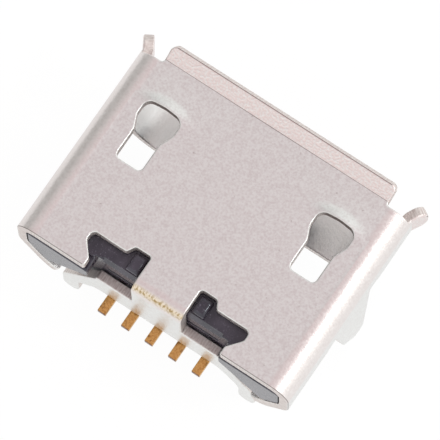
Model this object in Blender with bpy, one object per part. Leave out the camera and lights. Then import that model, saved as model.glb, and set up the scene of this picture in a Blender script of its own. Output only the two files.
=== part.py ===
"""Micro USB Type B socket with five contacts, standing on a circuit board.

Three kinds of piece: a shell folded from one sheet, a moulded housing, and five stamped
contacts. Sizes are in millimetres and each finished mesh is scaled to metres once.
X runs across the socket, the mouth faces -Y, and Z is the height above the board.
While a piece is drawn, y is counted from the shell's plain front edge, behind the lips.
"""
import math

import bpy
from mathutils.geometry import delaunay_2d_cdt

METRES_PER_MM = 0.001
CUT_OVERLAP = 0.2
FACET_ANGLE = math.radians(18)
SMALL = 1e-5

# Shell sheet and the outer faces of its D-shaped section
SHEET = 0.25
SHELL_WIDTH = 7.40
SHELL_TOP_Z = 2.45
SHELL_FLOOR_Z = 0.10
KNEE_Z = 1.22
FLOOR_WIDTH = 5.80
TOP_CORNER_RADIUS = 0.50
KNEE_RADIUS = 0.60
FLOOR_CORNER_RADIUS = 1.00
SHELL_LENGTH = 4.99
FLOOR_LENGTH = 3.52
FLOOR_EDGE_SETBACK = 0.30
SHEET_CORNER = 0.05

# Seam in the middle of the floor, locked by one dovetail
SEAM_GAP = 0.03
DOVETAIL_Y = 1.67
DOVETAIL_DEPTH = 0.55
DOVETAIL_NECK = 0.50
DOVETAIL_HEAD = 0.90

# Lips flared round the mouth
LIP_ROOT = 0.08
LIP_ROOT_RADIUS = 0.07
LIP_BEND_RADIUS = 0.16
LIP_MARGIN = 0.05
TOP_LIP_WIDTH = 6.10
TOP_LIP_LENGTH = 0.54
TOP_LIP_ANGLE = math.radians(28)
SIDE_LIP_LENGTH = 0.58
SIDE_LIP_ANGLE = math.radians(30)
SIDE_LIP_OVERRUN = 0.12
FLOOR_LIP_WIDTH = 4.30
FLOOR_LIP_LENGTH = 0.50
FLOOR_LIP_ANGLE = math.radians(30)
LIP_CORNER = 0.16
SIDE_LIP_CORNER = 0.36

# Latch holes in the top plate: a slot that widens to a head towards the mouth, with a raised rim
LATCH_SPACING = 4.73
LATCH_SLOT_WIDTH = 0.69
LATCH_SLOT_END_Y = 2.45
LATCH_HEAD_WIDTH = 0.98
LATCH_HEAD_Y = 1.17
LATCH_SLOT_CORNER = 0.12
LATCH_FRONT_Y = 0.90
LATCH_FRONT_BOW = 0.03
LATCH_HEAD_RADIUS = 0.28
LATCH_SHOULDER_LOW_Y = 1.68
LATCH_SHOULDER_HIGH_Y = 1.34
LATCH_SHOULDER_RADIUS = 0.25
LATCH_RIM_RISE = 0.12
LATCH_RIM_REACH = 0.30
RIM_RING_SHARES = (0.3, 0.65, 1.0)

# Side legs lanced out of the lower walls, and the windows they leave
LEG_TIP_Z = -1.05
LEG_ROOT_FRONT_Y = 1.60
LEG_ROOT_REAR_Y = 3.02
LEG_TAPER_START_Z = -0.35
LEG_TAPER_REAR_Y = 2.65
LEG_TIP_FRONT_Y = 1.82
LEG_TIP_REAR_Y = 2.18
LEG_CORNER = 0.12
LEG_ROOT_RADIUS = 0.06
LEG_TAPER_RADIUS = 0.40
LEG_HEEL_RADIUS = 0.10
WINDOW_FRONT_Y = 1.32
WINDOW_REAR_Y = 3.32
WINDOW_TIP_GAP = 0.15

# Neck and rear cover, folded down from the top plate
NECK_WIDTH = 1.36
NECK_BEND_RADIUS = 0.16
NECK_MARGIN = 0.05
COVER_FACE_Y = 4.837
WING_WIDTH = 3.36
WING_TOP_Z = 1.28
COVER_SIDE_TOP_Z = 1.22
COVER_SIDE_LOW_Z = -0.28
ARCH_WIDTH = 3.36
ARCH_TOP_Z = 0.36
ARCH_FOOT_Z = -0.25
ARCH_RADIUS = 0.45
COVER_SIDE_RADIUS = 0.30
WING_RADIUS = 0.06
TAB_OUTER_SPACING = 5.32
TAB_WIDTH = 0.44
TAB_CORNER = 0.20

# Notches beside the neck
NOTCH_DEEP_Y = 3.96
NOTCH_DEEP_X = 1.10
NOTCH_SHOULDER_X = 1.22
NOTCH_SHALLOW_Y = 4.17
NOTCH_OUTER_X = 2.13
NOTCH_BACK_Y = 4.42
TONGUE_END_X = 1.84
TONGUE_CORNER_Y = 4.77
NECK_ROOT_RADIUS = 0.08
NOTCH_RADIUS = 0.10
NOTCH_END_RADIUS = 0.14
WALL_END_RADIUS = 0.10
FLOOR_END_RADIUS = 0.25

# Moulded housing
HOUSING_GAP = 0.04
HOUSING_FRONT_Y = 3.67
HOUSING_CORNER_Y = 4.97
COVER_GAP = 0.027
POCKET_TOP_WIDTH = 3.60
POCKET_SIDE_Z = 1.63
POCKET_LOW_X = 3.12
POCKET_LOW_Z = 0.52
BACK_CHAMFER_DEPTH = 0.07
BACK_CHAMFER_HEIGHT = 0.20
BACK_CHAMFER_WIDTH = 3.24
CORNER_REBATE_DEPTH = 0.35
CORNER_REBATE_Z = 2.00
BACK_GROOVE_WIDTH = 3.00
BACK_GROOVE_DEPTH = 0.05
BACK_GROOVE_LOW_Z = 1.48
BACK_GROOVE_HIGH_Z = 1.62
KEY_WIDTH = 0.35
KEY_OUTER_X = 1.07
KEY_FRONT_Y = 4.02
KEY_REAR_Y = 4.47
KEY_TOP_Z = 2.32
KEY_CHAMFER = 0.05
TONGUE_WIDTH = 3.36
TONGUE_LOW_Z = 0.80
TONGUE_THICKNESS = 0.60
TONGUE_FRONT_Y = 0.62
TONGUE_CHAMFER = 0.14
TONGUE_ROOT_LENGTH = 0.55
TONGUE_ROOT_DROP = 0.18
FOOT_WIDTH = 3.50
FOOT_LOW_Z = 0.19
FOOT_FRONT_Y = 3.62
FOOT_REAR_SETBACK = 0.03

# Contacts
CONTACT_COUNT = 5
CONTACT_PITCH = 0.65
CONTACT_THICKNESS = 0.15
CONTACT_BLADE_WIDTH = 0.28
CONTACT_TAIL_WIDTH = 0.22
CONTACT_PROUD = 0.03
CONTACT_FRONT_Y = 0.84
CONTACT_SETBACK = 0.22
CONTACT_DROP_Y = 4.35
CONTACT_UPPER_RADIUS = 0.22
CONTACT_LOWER_RADIUS = 0.16
CONTACT_TAIL_END_Y = 5.20
CONTACT_NARROW_SETBACK = 0.15
CONTACT_NARROW_LENGTH = 0.20
CONTACT_CLEARANCE = 0.018
GROOVE_CLEARANCE = 0.035

# The middle tail's seat on the board is the origin of the whole socket
TAIL_SEAT_Y = 4.87

MATERIALS = {
    "plated_steel": ((0.66, 0.64, 0.63), 0.32, 1.0),
    "black_plastic": ((0.030, 0.030, 0.036), 0.45, 0.0),
    "gold_plate": ((0.80, 0.55, 0.22), 0.30, 1.0),
}


def clear_scene():
    for item in list(bpy.data.objects):
        bpy.data.objects.remove(item, do_unlink=True)


def make_material(name):
    colour, roughness, metallic = MATERIALS[name]
    material = bpy.data.materials.new(name)
    material.use_nodes = True
    shader = material.node_tree.nodes["Principled BSDF"]
    shader.inputs["Base Color"].default_value = (*colour, 1.0)
    shader.inputs["Roughness"].default_value = roughness
    shader.inputs["Metallic"].default_value = metallic
    return material


# Outlines and paths in a plane


def arc_points(corner, before, after, radius):
    """Points of the fillet that rounds a corner between its two neighbours."""
    to_before = (before[0] - corner[0], before[1] - corner[1])
    to_after = (after[0] - corner[0], after[1] - corner[1])
    length_before = math.hypot(*to_before)
    length_after = math.hypot(*to_after)
    dir_before = (to_before[0] / length_before, to_before[1] / length_before)
    dir_after = (to_after[0] / length_after, to_after[1] / length_after)
    cosine = dir_before[0] * dir_after[0] + dir_before[1] * dir_after[1]
    opening = math.acos(max(-1.0, min(1.0, cosine)))
    turn = math.pi - opening
    if radius <= 0.0 or turn < math.radians(2):
        return [corner]
    longest = 0.49 * min(length_before, length_after)
    setback = min(radius * math.tan(turn / 2), longest)
    radius = setback / math.tan(turn / 2)
    start = (corner[0] + dir_before[0] * setback, corner[1] + dir_before[1] * setback)
    bisector = (dir_before[0] + dir_after[0], dir_before[1] + dir_after[1])
    size = math.hypot(*bisector)
    reach = radius / math.cos(turn / 2)
    centre = (corner[0] + bisector[0] / size * reach, corner[1] + bisector[1] / size * reach)
    cross = dir_before[0] * dir_after[1] - dir_before[1] * dir_after[0]
    side = -1.0 if cross > 0 else 1.0
    first = math.atan2(start[1] - centre[1], start[0] - centre[0])
    steps = max(1, math.ceil(turn / FACET_ANGLE - SMALL))
    angles = [first + side * turn * k / steps for k in range(steps + 1)]
    return [(centre[0] + radius * math.cos(a), centre[1] + radius * math.sin(a)) for a in angles]


def rounded_outline(corners):
    """Closed outline through corners given as (x, y, fillet radius)."""
    outline = []
    for index, (x, y, radius) in enumerate(corners):
        before = corners[index - 1]
        after = corners[(index + 1) % len(corners)]
        outline += arc_points((x, y), before[:2], after[:2], radius)
    return outline


def mirrored(corners):
    return [(-corner[0], *corner[1:]) for corner in reversed(corners)]


def inside(point, outline):
    """True where the point lies within the closed outline."""
    x, y = point
    hit = False
    for (ax, ay), (bx, by) in zip(outline, outline[1:] + outline[:1]):
        if (ay > y) != (by > y) and x < ax + (y - ay) / (by - ay) * (bx - ax):
            hit = not hit
    return hit


def offset_corners(corners, distance):
    """Moves an open chain of straight edges to its right by a distance."""
    lines = []
    for (ax, ay), (bx, by) in zip(corners, corners[1:]):
        length = math.hypot(bx - ax, by - ay)
        heading = ((bx - ax) / length, (by - ay) / length)
        shift = (heading[1] * distance, -heading[0] * distance)
        lines.append(((ax + shift[0], ay + shift[1]), heading))
    (px, py), (dx, dy) = lines[-1]
    length = math.dist(corners[-1], corners[-2])
    moved = [lines[0][0]]
    for (start, heading), (other, turned) in zip(lines, lines[1:]):
        cross = heading[0] * turned[1] - heading[1] * turned[0]
        gap = (other[0] - start[0], other[1] - start[1])
        along = (gap[0] * turned[1] - gap[1] * turned[0]) / cross
        moved.append((start[0] + heading[0] * along, start[1] + heading[1] * along))
    moved.append((px + dx * length, py + dy * length))
    return moved


class BentPath:
    """A chain of straights and arcs through corners, measured by the length along it."""

    def __init__(self, corners, radii):
        self.pieces = []
        self.length = 0.0
        position = corners[0]
        heading = None
        for index in range(1, len(corners)):
            before, corner = corners[index - 1], corners[index]
            angle = math.atan2(corner[1] - before[1], corner[0] - before[0])
            turn, radius = 0.0, 0.0
            if index < len(corners) - 1:
                after = corners[index + 1]
                next_angle = math.atan2(after[1] - corner[1], after[0] - corner[0])
                turn = math.remainder(next_angle - angle, math.tau)
                radius = radii[index - 1]
            setback = radius * math.tan(abs(turn) / 2)
            straight = math.dist(position, corner) - setback
            heading = angle
            self.add(straight, position, heading, 0.0)
            position = (corner[0] - setback * math.cos(angle), corner[1] - setback * math.sin(angle))
            if radius > 0.0:
                self.add(radius * abs(turn), position, heading, math.copysign(1 / radius, turn))
                position, _ = self.at(self.length)

    def add(self, length, start, heading, curvature):
        self.pieces.append((self.length, length, start, heading, curvature))
        self.length += length

    def at(self, distance):
        """Point and heading at a distance along the path; both ends run on straight."""
        chosen = self.pieces[0]
        for piece in self.pieces:
            if distance >= piece[0] - SMALL:
                chosen = piece
        begin, _, (x, y), heading, curvature = chosen
        step = distance - begin
        if curvature == 0.0:
            return (x + step * math.cos(heading), y + step * math.sin(heading)), heading
        turned = heading + curvature * step
        x += (math.sin(turned) - math.sin(heading)) / curvature
        y -= (math.cos(turned) - math.cos(heading)) / curvature
        return (x, y), turned

    def bends(self):
        """Stations of the facet lines of every arc."""
        stations = []
        for begin, length, _, _, curvature in self.pieces:
            if curvature != 0.0:
                steps = max(2, math.ceil(abs(curvature) * length / FACET_ANGLE - SMALL))
                stations += [begin + length * k / steps for k in range(steps + 1)]
        return stations


# Meshes and solids


def make_object(name, points, faces, material):
    mesh = bpy.data.meshes.new(name)
    mesh.from_pydata(points, [], faces)
    mesh.materials.append(material)
    mesh.validate()
    mesh.update()
    item = bpy.data.objects.new(name, mesh)
    bpy.context.scene.collection.objects.link(item)
    return item


def prism(name, outline, axis, low, high, material):
    """Solid with a flat outline, drawn across one axis and reaching from low to high on it."""

    def place(point, level):
        spots = list(point)
        spots.insert("xyz".index(axis), level)
        return tuple(spots)

    area = sum(a[0] * b[1] - b[0] * a[1] for a, b in zip(outline, outline[1:] + outline[:1]))
    flipped = (area < 0) != (axis == "y")
    outline = outline[::-1] if flipped else outline
    count = len(outline)
    points = [place(p, low) for p in outline] + [place(p, high) for p in outline]
    faces = [tuple(reversed(range(count))), tuple(range(count, 2 * count))]
    for k in range(count):
        after = (k + 1) % count
        faces.append((k, after, count + after, count + k))
    return make_object(name, points, faces, material)


def box(name, x_range, y_range, z_range, material):
    (x0, x1), (z0, z1) = x_range, z_range
    outline = [(x0, z0), (x1, z0), (x1, z1), (x0, z1)]
    return prism(name, outline, "y", *y_range, material)


def combine(body, other, operation):
    """Cuts, or joins, one solid with another and drops the second."""
    step = body.modifiers.new(operation.lower(), "BOOLEAN")
    step.operation = operation
    step.solver = "EXACT"
    step.object = other
    bpy.context.view_layer.update()
    result = body.evaluated_get(bpy.context.evaluated_depsgraph_get())
    mesh = bpy.data.meshes.new_from_object(result)
    body.modifiers.clear()
    body.data = mesh
    bpy.data.objects.remove(other, do_unlink=True)


def finish(item):
    """Scales a piece to metres, shades its round faces smooth and sets it on the origin."""
    for vertex in item.data.vertices:
        vertex.co *= METRES_PER_MM
    item.location.y = -TAIL_SEAT_Y * METRES_PER_MM
    item.data.shade_smooth()
    item.data.set_sharp_from_angle(angle=math.radians(32))
    item.data.update()


# Shell


def shell_section():
    """Middle line of half of the D section, from the top's middle round to the seam."""
    outer = [
        (0.0, SHELL_TOP_Z),
        (SHELL_WIDTH / 2, SHELL_TOP_Z),
        (SHELL_WIDTH / 2, KNEE_Z),
        (FLOOR_WIDTH / 2, SHELL_FLOOR_Z),
        (0.0, SHELL_FLOOR_Z),
    ]
    radii = [TOP_CORNER_RADIUS, KNEE_RADIUS, FLOOR_CORNER_RADIUS]
    return BentPath(offset_corners(outer, SHEET / 2), [r - SHEET / 2 for r in radii])


def section_outline(path, offset):
    """Closed (x, z) outline of the D section, moved outwards by an offset."""
    stations = [0.0] + path.bends() + [path.length]
    half = []
    for station in stations:
        (x, z), heading = path.at(station)
        half.append((x - offset * math.sin(heading), z + offset * math.cos(heading)))
    half = half[1:-1]
    return half + [(-x, z) for x, z in reversed(half)]


class ShellBlank:
    """The flat sheet before folding: u along the section, v from the mouth to the rear."""

    def __init__(self):
        self.path = shell_section()
        top, corner, side, knee, slope, bend, floor = self.path.pieces
        self.corner_start = corner[0]
        self.side_start = side[0]
        self.knee_start = knee[0]
        self.slope_start = slope[0]
        self.bend_start = bend[0]
        self.floor_start = floor[0]
        (self.knee_x, self.knee_start_z), _ = self.path.at(self.knee_start)
        self.seam = self.path.length - SEAM_GAP / 2
        self.leg_end = self.knee_start + self.knee_start_z - LEG_TIP_Z
        self.neck_mid_y = COVER_FACE_Y - SHEET / 2
        self.neck_bend_v = self.neck_mid_y - NECK_BEND_RADIUS
        self.neck_bend_end = self.neck_bend_v + NECK_BEND_RADIUS * math.pi / 2
        self.top_mid_z = SHELL_TOP_Z - SHEET / 2
        self.flap_start = (SHELL_LENGTH + self.flap_v(WING_TOP_Z)) / 2

    def flap_v(self, z):
        """Station of a height on the folded cover."""
        return self.neck_bend_end + self.top_mid_z - NECK_BEND_RADIUS - z

    def leg_u(self, z):
        """Station of a height on the straight side leg."""
        return self.knee_start + self.knee_start_z - z

    def lips(self):
        """Each lip as (first u, last u, length, angle)."""
        floor_lip_end = self.path.length - FLOOR_LIP_WIDTH / 2
        return {
            "top": (0.0, TOP_LIP_WIDTH / 2, TOP_LIP_LENGTH, TOP_LIP_ANGLE),
            "side": (
                self.side_start - SIDE_LIP_OVERRUN,
                self.knee_start + SIDE_LIP_OVERRUN,
                SIDE_LIP_LENGTH,
                SIDE_LIP_ANGLE,
            ),
            "floor": (floor_lip_end, self.seam, FLOOR_LIP_LENGTH, FLOOR_LIP_ANGLE),
        }

    def cover_corners(self):
        """Right half of the rear cover, from the arch's middle round to the neck."""
        tab_outer = TAB_OUTER_SPACING / 2
        tab_inner = tab_outer - TAB_WIDTH
        return [
            (ARCH_WIDTH / 2, self.flap_v(ARCH_TOP_Z), ARCH_RADIUS),
            (tab_inner, self.flap_v(ARCH_FOOT_Z), ARCH_RADIUS),
            (tab_inner, self.flap_v(LEG_TIP_Z), TAB_CORNER),
            (tab_outer, self.flap_v(LEG_TIP_Z), TAB_CORNER),
            (tab_outer, self.flap_v(COVER_SIDE_LOW_Z), COVER_SIDE_RADIUS),
            (WING_WIDTH / 2, self.flap_v(COVER_SIDE_TOP_Z), WING_RADIUS),
            (WING_WIDTH / 2, self.flap_v(WING_TOP_Z), WING_RADIUS),
            (NECK_WIDTH / 2, self.flap_v(WING_TOP_Z), WING_RADIUS),
        ]

    def notch_corners(self):
        """Notch beside the neck and the rear end of the top plate outside it."""
        return [
            (NECK_WIDTH / 2, NOTCH_DEEP_Y, NECK_ROOT_RADIUS),
            (NOTCH_DEEP_X, NOTCH_DEEP_Y, NOTCH_RADIUS),
            (NOTCH_SHOULDER_X, NOTCH_SHALLOW_Y, NOTCH_RADIUS),
            (NOTCH_OUTER_X, NOTCH_SHALLOW_Y, NOTCH_END_RADIUS),
            (NOTCH_OUTER_X, NOTCH_BACK_Y, NOTCH_RADIUS),
            (TONGUE_END_X, TONGUE_CORNER_Y, NOTCH_RADIUS),
            (TONGUE_END_X, SHELL_LENGTH, SHEET_CORNER),
        ]

    def rear_corners(self):
        """Rear edge of the walls and the shorter rear edge of the floor."""
        wall_end = self.floor_start - FLOOR_EDGE_SETBACK
        return [
            (wall_end, SHELL_LENGTH, WALL_END_RADIUS),
            (wall_end, FLOOR_LENGTH, FLOOR_END_RADIUS),
        ]

    def seam_corners(self, tab):
        """Seam edge from the rear to the front, with the dovetail's tab or its recess."""
        reach = DOVETAIL_DEPTH if tab else -DOVETAIL_DEPTH
        slack = -SEAM_GAP if tab else SEAM_GAP
        neck = (DOVETAIL_NECK + slack) / 2
        head = (DOVETAIL_HEAD + slack) / 2
        return [
            (self.seam, FLOOR_LENGTH, SHEET_CORNER),
            (self.seam, DOVETAIL_Y + neck, 0.0),
            (self.seam + reach, DOVETAIL_Y + head, SHEET_CORNER),
            (self.seam + reach, DOVETAIL_Y - head, SHEET_CORNER),
            (self.seam, DOVETAIL_Y - neck, 0.0),
        ]

    def mouth_corners(self):
        """Front edge from the seam round to the middle of the top."""
        lips = self.lips()
        floor_edge, _, floor_length, _ = lips["floor"]
        side_first, side_last, side_length, _ = lips["side"]
        _, top_edge, top_length, _ = lips["top"]
        return [
            (self.seam, -floor_length, SHEET_CORNER),
            (floor_edge, -floor_length, LIP_CORNER),
            (floor_edge, 0.0, LIP_ROOT_RADIUS),
            (side_last, 0.0, LIP_ROOT_RADIUS),
            (side_last, -side_length, SIDE_LIP_CORNER),
            (side_first, -side_length, SIDE_LIP_CORNER),
            (side_first, 0.0, LIP_ROOT_RADIUS),
            (top_edge, 0.0, LIP_ROOT_RADIUS),
            (top_edge, -top_length, LIP_CORNER),
        ]

    def half(self, tab):
        return (
            self.cover_corners()
            + self.notch_corners()
            + self.rear_corners()
            + self.seam_corners(tab)
            + self.mouth_corners()
        )

    def latch_hole(self):
        """Slot, smooth shoulders and a flat-fronted head towards the mouth, on the right side."""
        centre = LATCH_SPACING / 2
        half = [
            (LATCH_SLOT_WIDTH / 2, LATCH_SLOT_END_Y, LATCH_SLOT_CORNER),
            (LATCH_SLOT_WIDTH / 2, LATCH_SHOULDER_LOW_Y, LATCH_SHOULDER_RADIUS),
            (LATCH_HEAD_WIDTH / 2, LATCH_SHOULDER_HIGH_Y, LATCH_SHOULDER_RADIUS),
            (LATCH_HEAD_WIDTH / 2, LATCH_FRONT_Y + LATCH_FRONT_BOW, LATCH_HEAD_RADIUS),
            (0.0, LATCH_FRONT_Y, LATCH_HEAD_WIDTH),
        ]
        corners = half + mirrored(half[:-1])
        return rounded_outline([(centre + x, y, radius) for x, y, radius in corners])

    def leg_window(self):
        """U-shaped slot that frees the right side leg from the wall."""
        far = self.leg_end + WINDOW_TIP_GAP
        taper = self.leg_u(LEG_TAPER_START_Z)
        return rounded_outline([
            (self.knee_start, WINDOW_FRONT_Y, LEG_CORNER),
            (far, WINDOW_FRONT_Y, LEG_CORNER),
            (far, WINDOW_REAR_Y, LEG_CORNER),
            (self.knee_start, WINDOW_REAR_Y, LEG_CORNER),
            (self.knee_start, LEG_ROOT_REAR_Y, LEG_ROOT_RADIUS),
            (taper, LEG_TAPER_REAR_Y, LEG_TAPER_RADIUS),
            (self.leg_end, LEG_TIP_REAR_Y, LEG_HEEL_RADIUS),
            (self.leg_end, LEG_TIP_FRONT_Y, LEG_CORNER),
            (self.knee_start, LEG_ROOT_FRONT_Y, LEG_ROOT_RADIUS),
        ])

    def fold_lines(self):
        """Facet lines of every bend, as pairs of points on the right half or across."""
        lines = []
        front, rear = -2 * TOP_LIP_LENGTH, SHELL_LENGTH + SHEET
        for u in self.path.bends():
            lines.append(((u, front), (u, rear)))
        for first, last, _, angle in self.lips().values():
            steps = max(2, math.ceil(angle / FACET_ANGLE))
            for k in range(steps + 1):
                v = -LIP_ROOT - LIP_BEND_RADIUS * angle * k / steps
                lines.append(((first - LIP_MARGIN, v), (last + LIP_MARGIN, v)))
        steps = math.ceil(math.pi / 2 / FACET_ANGLE)
        for k in range(steps + 1):
            v = self.neck_bend_v + NECK_BEND_RADIUS * math.pi / 2 * k / steps
            lines.append(((0.0, v), (NECK_WIDTH / 2 + NECK_MARGIN, v)))
        return lines

    def rim_rings(self):
        """Half ellipses in front of the latch hole's head that carry the raised rim."""
        rings = []
        depth = LATCH_HEAD_Y - LATCH_FRONT_Y
        steps = math.ceil(math.pi / FACET_ANGLE)
        for share in RIM_RING_SHARES:
            growth = 1 + LATCH_RIM_REACH * share / depth
            angles = [math.pi + math.pi * k / steps for k in range(steps + 1)]
            rings.append([
                (
                    LATCH_SPACING / 2 + LATCH_HEAD_WIDTH / 2 * growth * math.cos(a),
                    LATCH_HEAD_Y + depth * growth * math.sin(a),
                )
                for a in angles
            ])
        return rings

    def rim_height(self, u, v):
        """Rise of the top plate in front of the latch hole's head."""
        depth = LATCH_HEAD_Y - LATCH_FRONT_Y
        dx = (abs(u) - LATCH_SPACING / 2) / (LATCH_HEAD_WIDTH / 2)
        dy = (v - LATCH_HEAD_Y) / depth
        distance = math.hypot(dx, dy)
        outside = max(0.0, distance - 1) * depth
        if dy > -SMALL or outside > LATCH_RIM_REACH:
            return 0.0
        share = 1.0 - outside / LATCH_RIM_REACH
        facing = -dy / distance
        return LATCH_RIM_RISE * share * share * (3 - 2 * share) * facing * facing

    def lip_angle_at(self, u):
        """Angle of the lip that a station belongs to."""
        for first, last, _, angle in self.lips().values():
            if first - LIP_MARGIN <= u <= last + LIP_MARGIN:
                return angle
        return 0.0

    def fold(self, u, v, w):
        """Folds a blank point, w above its middle, to its place on the shell."""
        side = -1.0 if u < 0 else 1.0
        u = abs(u)
        if v > self.neck_bend_v and (u < NECK_WIDTH / 2 + NECK_MARGIN or v > self.flap_start):
            return self.fold_cover(side * u, v, w)
        in_leg = WINDOW_FRONT_Y + LEG_CORNER < v < WINDOW_REAR_Y - LEG_CORNER
        if self.knee_start < u < self.leg_end + WINDOW_TIP_GAP / 2 and in_leg:
            return side * (self.knee_x + w), v, self.knee_start_z - (u - self.knee_start)
        (x, z), heading = self.path.at(u)
        normal = (-math.sin(heading), math.cos(heading))
        w += self.rim_height(u, v)
        y = v
        beyond = -LIP_ROOT - v
        if beyond > 0.0:
            angle = self.lip_angle_at(u)
            turned = min(beyond / LIP_BEND_RADIUS, angle)
            straight = max(0.0, beyond - LIP_BEND_RADIUS * angle)
            rise = LIP_BEND_RADIUS * (1 - math.cos(turned)) + straight * math.sin(turned)
            y = -LIP_ROOT - LIP_BEND_RADIUS * math.sin(turned) - straight * math.cos(turned)
            y += w * math.sin(turned)
            w = rise + w * math.cos(turned)
        return side * (x + w * normal[0]), y, z + w * normal[1]

    def fold_cover(self, x, v, w):
        """Folds the neck and the cover down behind the housing."""
        turned = min((v - self.neck_bend_v) / NECK_BEND_RADIUS, math.pi / 2)
        below = max(0.0, v - self.neck_bend_end)
        y = self.neck_bend_v + (NECK_BEND_RADIUS + w) * math.sin(turned)
        z = self.top_mid_z - NECK_BEND_RADIUS + (NECK_BEND_RADIUS + w) * math.cos(turned) - below
        return x, y, z


def triangulate(loops, extra_lines):
    """Triangles of the flat blank: inside the first loop, outside the others."""
    points, edges = [], []
    for loop in loops:
        first = len(points)
        points += loop
        edges += [(first + k, first + (k + 1) % len(loop)) for k in range(len(loop))]
    for line in extra_lines:
        first = len(points)
        points += line
        edges += [(first + k, first + k + 1) for k in range(len(line) - 1)]
    flat, _, triangles, *_ = delaunay_2d_cdt(points, edges, [], 0, 0.002, False)
    kept = []
    for face in triangles:
        middle = [sum(flat[k][axis] for k in face) / len(face) for axis in (0, 1)]
        if inside(middle, loops[0]) and not any(inside(middle, loop) for loop in loops[1:]):
            kept.append(tuple(face))
    return [tuple(point) for point in flat], kept


def folded_solid(name, flat, triangles, fold, material):
    """Gives the flat triangles the sheet's thickness and folds them."""
    used = sorted({k for face in triangles for k in face})
    order = {k: index for index, k in enumerate(used)}
    count = len(used)
    points = [fold(*flat[k], SHEET / 2) for k in used]
    points += [fold(*flat[k], -SHEET / 2) for k in used]
    faces, border = [], {}
    for face in triangles:
        a, b, c = (order[k] for k in face)
        (ax, ay), (bx, by), (cx, cy) = (flat[k] for k in face)
        if (bx - ax) * (cy - ay) - (by - ay) * (cx - ax) < 0:
            b, c = c, b
        faces.append((a, b, c))
        faces.append((count + c, count + b, count + a))
        for start, end in ((a, b), (b, c), (c, a)):
            if (end, start) in border:
                del border[(end, start)]
            else:
                border[(start, end)] = True
    for start, end in border:
        faces.append((end, start, count + start, count + end))
    return make_object(name, points, faces, material)


def make_shell(material):
    blank = ShellBlank()
    outline = rounded_outline(blank.half(tab=False) + mirrored(blank.half(tab=True)))
    holes = []
    for hole in (blank.latch_hole(), blank.leg_window()):
        holes += [hole, [(-u, v) for u, v in reversed(hole)]]
    lines = []
    for line in blank.fold_lines() + blank.rim_rings():
        lines += [list(line), [(-u, v) for u, v in line]]
    flat, triangles = triangulate([outline] + holes, lines)
    return folded_solid("shell", flat, triangles, blank.fold, material)


# Contacts


def contact_x(index):
    return (index - (CONTACT_COUNT - 1) / 2) * CONTACT_PITCH


def contact_front(index):
    """The two outer contacts reach further forward, so power mates first."""
    outermost = index in (0, CONTACT_COUNT - 1)
    return CONTACT_FRONT_Y if outermost else CONTACT_FRONT_Y + CONTACT_SETBACK


def blade_mid_z():
    return TONGUE_LOW_Z + TONGUE_THICKNESS + CONTACT_PROUD - CONTACT_THICKNESS / 2


def contact_path(front):
    """Middle line in (y, z): along the tongue, down through the housing, out as a tail."""
    corners = [
        (front, blade_mid_z()),
        (CONTACT_DROP_Y, blade_mid_z()),
        (CONTACT_DROP_Y, CONTACT_THICKNESS / 2),
        (CONTACT_TAIL_END_Y, CONTACT_THICKNESS / 2),
    ]
    return BentPath(corners, [CONTACT_UPPER_RADIUS, CONTACT_LOWER_RADIUS])


def strip(name, path, centre_x, thickness, widths, material):
    """Bent strip: the width changes from the first to the second value inside the housing."""
    narrow_from = HOUSING_FRONT_Y + CONTACT_NARROW_SETBACK
    narrow_at = narrow_from + CONTACT_NARROW_LENGTH
    start = path.pieces[0][2][0]
    stations = sorted({0.0, narrow_from - start, narrow_at - start, *path.bends(), path.length})
    points = []
    for station in stations:
        (y, z), heading = path.at(station)
        width = widths[0] if station < narrow_at - start - SMALL else widths[1]
        normal = (-math.sin(heading), math.cos(heading))
        for side, level in ((-1, -1), (1, -1), (1, 1), (-1, 1)):
            rise = level * thickness / 2
            points.append((centre_x + side * width / 2, y + rise * normal[0], z + rise * normal[1]))
    faces = [(0, 1, 2, 3)]
    for k in range(len(stations) - 1):
        a, b = 4 * k, 4 * k + 4
        for m in range(4):
            n = (m + 1) % 4
            faces.append((a + m, b + m, b + n, a + n))
    last = 4 * (len(stations) - 1)
    faces.append((last + 3, last + 2, last + 1, last))
    return make_object(name, points, faces, material)


def make_contacts(material):
    widths = (CONTACT_BLADE_WIDTH, CONTACT_TAIL_WIDTH)
    return [
        strip(
            f"contact_{index + 1}",
            contact_path(contact_front(index)),
            contact_x(index),
            CONTACT_THICKNESS,
            widths,
            material,
        )
        for index in range(CONTACT_COUNT)
    ]


# Housing


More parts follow.
